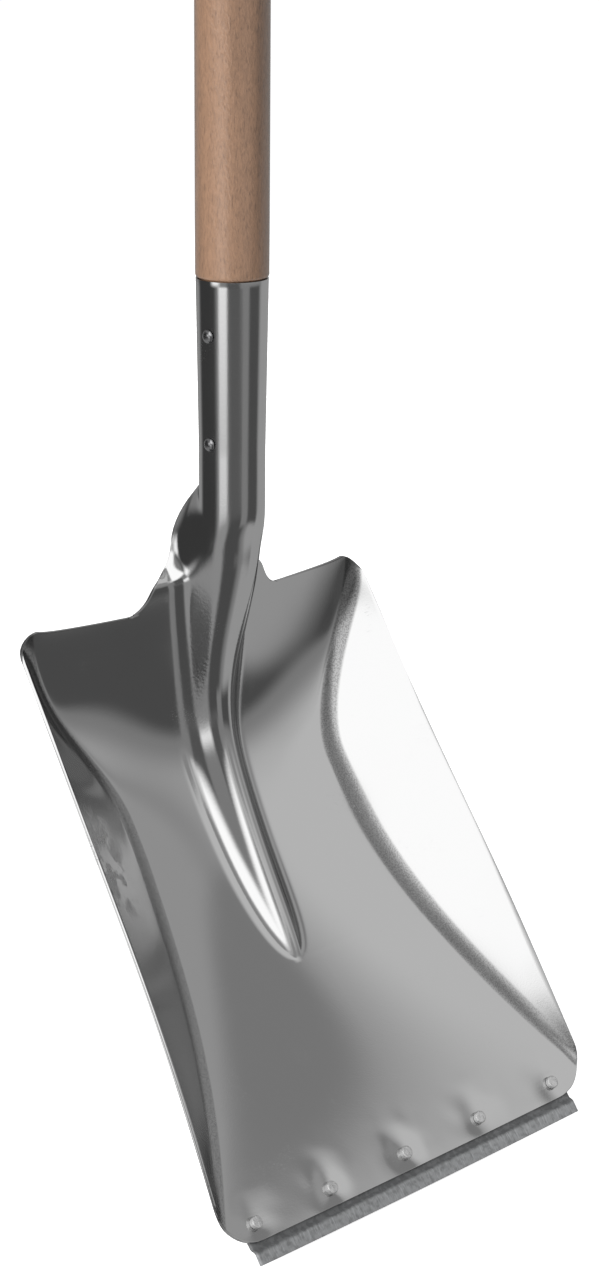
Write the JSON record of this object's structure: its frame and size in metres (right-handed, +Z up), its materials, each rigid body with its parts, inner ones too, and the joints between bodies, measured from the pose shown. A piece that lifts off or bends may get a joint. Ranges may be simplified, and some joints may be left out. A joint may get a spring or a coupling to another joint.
{
  "type": "ballast shovel",
  "caption": "Long-handled ballast shovel: a broad dished aluminium blade with a rolled socket, a riveted steel wear strip along the mouth and a straight round wooden handle.",
  "frame": {"origin": "on the handle's axis, level with the rim of the socket, where the lower hand takes hold", "axes": "+Z up along the handle, the dished face of the blade looks towards -Y, +X to the right across the blade"},
  "size_m": [0.2896, 0.1934, 1.4909],
  "materials": {
    "aluminium_sheet": "rolled, fine grain across the blade, lightly scuffed",
    "galvanised_steel": "matte grey zinc",
    "edge_rivet_steel": "bright, hammered flat",
    "socket_rivet_steel": "smooth domes",
    "beech_wood": "satin, lightly oiled"
  },
  "bodies": {
    "root": {"blade": "aluminium_sheet", "wear_strip": "galvanised_steel", "edge_rivet_1": "edge_rivet_steel", "edge_rivet_2": "edge_rivet_steel", "edge_rivet_3": "edge_rivet_steel", "edge_rivet_4": "edge_rivet_steel", "edge_rivet_5": "edge_rivet_steel", "socket_rivet_upper": "socket_rivet_steel", "socket_rivet_lower": "socket_rivet_steel", "handle": "beech_wood"}
  },
  "joints": []
}
